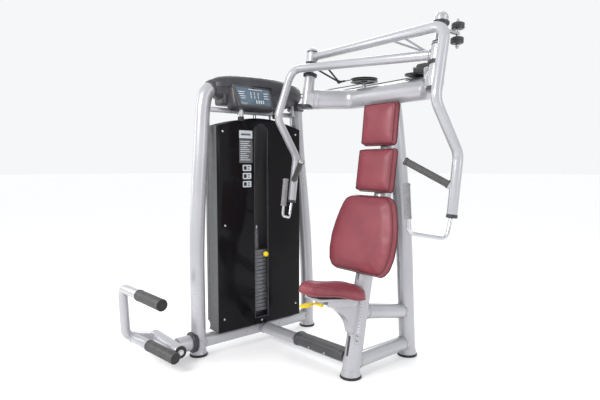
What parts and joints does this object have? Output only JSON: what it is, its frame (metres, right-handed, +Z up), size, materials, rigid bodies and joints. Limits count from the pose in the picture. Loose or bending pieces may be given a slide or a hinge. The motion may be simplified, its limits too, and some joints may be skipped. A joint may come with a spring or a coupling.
{
  "type": "seated chest press machine",
  "caption": "Selectorised seated press machine: two crossing overhead arms with looped handles, maroon seat and back pads, shrouded weight stack and a foot lever.",
  "frame": {"origin": "middle of the footprint, on the floor", "axes": "+Z up; the person sits facing -Y; the weight stack stands on the -X side"},
  "size_m": [1.6787, 1.419, 1.846],
  "materials": {
    "silver_paint": "satin metallic paint",
    "rubber_feet": "matte",
    "charcoal_trim": "satin",
    "dark_plastic": "satin",
    "smoked_panel": "gloss",
    "chrome": "polished",
    "grip_rubber": "ribbed matte",
    "grey_grip": "ribbed matte",
    "steel_cable": "twisted wire",
    "stack_steel": "satin",
    "yellow_plastic": "gloss",
    "display_screen": "gloss",
    "maroon_vinyl": "grained vinyl"
  },
  "bodies": {
    "frame": {"tower_front_upright": "silver_paint", "tower_rear_upright": "silver_paint", "tower_base_beam": "silver_paint", "tower_front_foot": "rubber_feet", "tower_rear_foot": "rubber_feet", "head_frame": "silver_paint", "base_link_tube": "silver_paint", "footrest_cover": "charcoal_trim", "crossbeam": "silver_paint", "seat_post": "silver_paint", "rear_column": "silver_paint", "seat_base_tube": "silver_paint", "column_strut": "silver_paint", "post_foot": "rubber_feet", "column_foot": "rubber_feet", "tie_tube": "silver_paint", "left_pivot_post": "silver_paint", "right_pivot_post": "silver_paint", "left_bearing": "dark_plastic", "right_bearing": "dark_plastic", "arm_stop": "rubber_feet", "left_pulley_stand": "silver_paint", "right_pulley_stand": "charcoal_trim", "left_cable_pull": "steel_cable", "left_cable_run": "steel_cable", "right_cable_pull": "steel_cable", "right_cable_run": "steel_cable", "cable_lift": "steel_cable", "guide_rods": "chrome", "weight_plates": "stack_steel", "shroud_front": "smoked_panel", "shroud_back": "charcoal_trim", "console_housing": "dark_plastic", "console_display": "display_screen", "back_pad_low": "maroon_vinyl", "back_pad_middle": "maroon_vinyl", "back_pad_top": "maroon_vinyl", "lever_support": "silver_paint"},
    "right_arm": {"right_arm": "silver_paint", "right_handle_loop": "chrome", "right_upright_grip": "grey_grip", "right_diagonal_grip": "grip_rubber", "right_bracket": "silver_paint"},
    "left_arm": {"left_arm": "silver_paint", "left_handle_loop": "chrome", "left_upright_grip": "grey_grip", "left_diagonal_grip": "grip_rubber", "left_bracket": "dark_plastic"},
    "lifted_weight": {"head_plate": "stack_steel"},
    "selector": {"selector_pin": "yellow_plastic"},
    "seat": {"seat_pad": "maroon_vinyl", "seat_carriage": "silver_paint"},
    "seat_release": {"seat_lever": "yellow_plastic"},
    "foot_lever": {"lever_frame": "silver_paint", "upper_peg": "grip_rubber", "lower_peg": "grip_rubber"},
    "left_wheel": {"left_beam_pulley": "dark_plastic"},
    "right_wheel": {"right_beam_pulley": "dark_plastic"},
    "head_wheel": {"head_pulley": "dark_plastic"},
    "turn_wheel": {"turn_pulley": "dark_plastic"}
  },
  "joints": [
    {"name": "left_arm_swing", "type": "hinge", "parent": "frame", "child": "left_arm", "pos_m": [0.69, 0.2345, 1.487], "axis": [0, 0.1449, 0.9895], "range_deg": [0, 28], "deforming": ["left_cable_pull"]},
    {"name": "right_arm_swing", "type": "hinge", "parent": "frame", "child": "right_arm", "pos_m": [-0.208, 0.2345, 1.487], "axis": [0, -0.1449, -0.9895], "range_deg": [0, 28], "deforming": ["right_cable_pull"]},
    {"name": "weight_lift", "type": "slide", "parent": "frame", "child": "lifted_weight", "axis": [0, 0, 1], "range_m": [0, 0.3], "deforming": ["cable_lift"]},
    {"name": "selector_pull", "type": "slide", "parent": "lifted_weight", "child": "selector", "axis": [1, 0, 0], "range_m": [0, 0.085]},
    {"name": "seat_height", "type": "slide", "parent": "frame", "child": "seat", "axis": [0, 0.2015, 0.9795], "range_m": [-0.085, 0.015]},
    {"name": "seat_release", "type": "hinge", "parent": "seat", "child": "seat_release", "pos_m": [0.188, -0.025, 0.428], "axis": [-1, 0, 0], "range_deg": [0, 12], "stiffness_Nm_per_rad": 1.5, "springref_deg": -8.59},
    {"name": "foot_lever_swing", "type": "hinge", "parent": "frame", "child": "foot_lever", "pos_m": [-0.609, -0.488, 0.088], "axis": [-1, 0, 0], "range_deg": [0, 32]},
    {"name": "left_wheel_turn", "type": "hinge", "parent": "frame", "child": "left_wheel", "pos_m": [0.051, 0.457, 1.638], "axis": [0, 0, -1], "range_deg": [-5, 230]},
    {"name": "right_wheel_turn", "type": "hinge", "parent": "frame", "child": "right_wheel", "pos_m": [0.411, 0.457, 1.622], "axis": [0, 0, -1], "range_deg": [-5, 320]},
    {"name": "head_wheel_turn", "type": "hinge", "parent": "frame", "child": "head_wheel", "pos_m": [-0.559, 0.142, 1.555], "axis": [-1, 0, 0], "range_deg": [-5, 400]},
    {"name": "turn_wheel_turn", "type": "hinge", "parent": "frame", "child": "turn_wheel", "pos_m": [-0.518, 0.372, 1.6], "axis": [0, 0, -1], "range_deg": [-5, 420]}
  ],
  "couplings": [
    {"joint": "right_arm_swing", "follows": "left_arm_swing", "ratio": 1},
    {"joint": "weight_lift", "follows": "left_arm_swing", "m_per_rad": 0.573},
    {"joint": "left_wheel_turn", "follows": "left_arm_swing", "ratio": 7.796},
    {"joint": "right_wheel_turn", "follows": "left_arm_swing", "ratio": 10.914},
    {"joint": "head_wheel_turn", "follows": "left_arm_swing", "ratio": 13.482},
    {"joint": "turn_wheel_turn", "follows": "left_arm_swing", "ratio": 14.506}
  ]
}
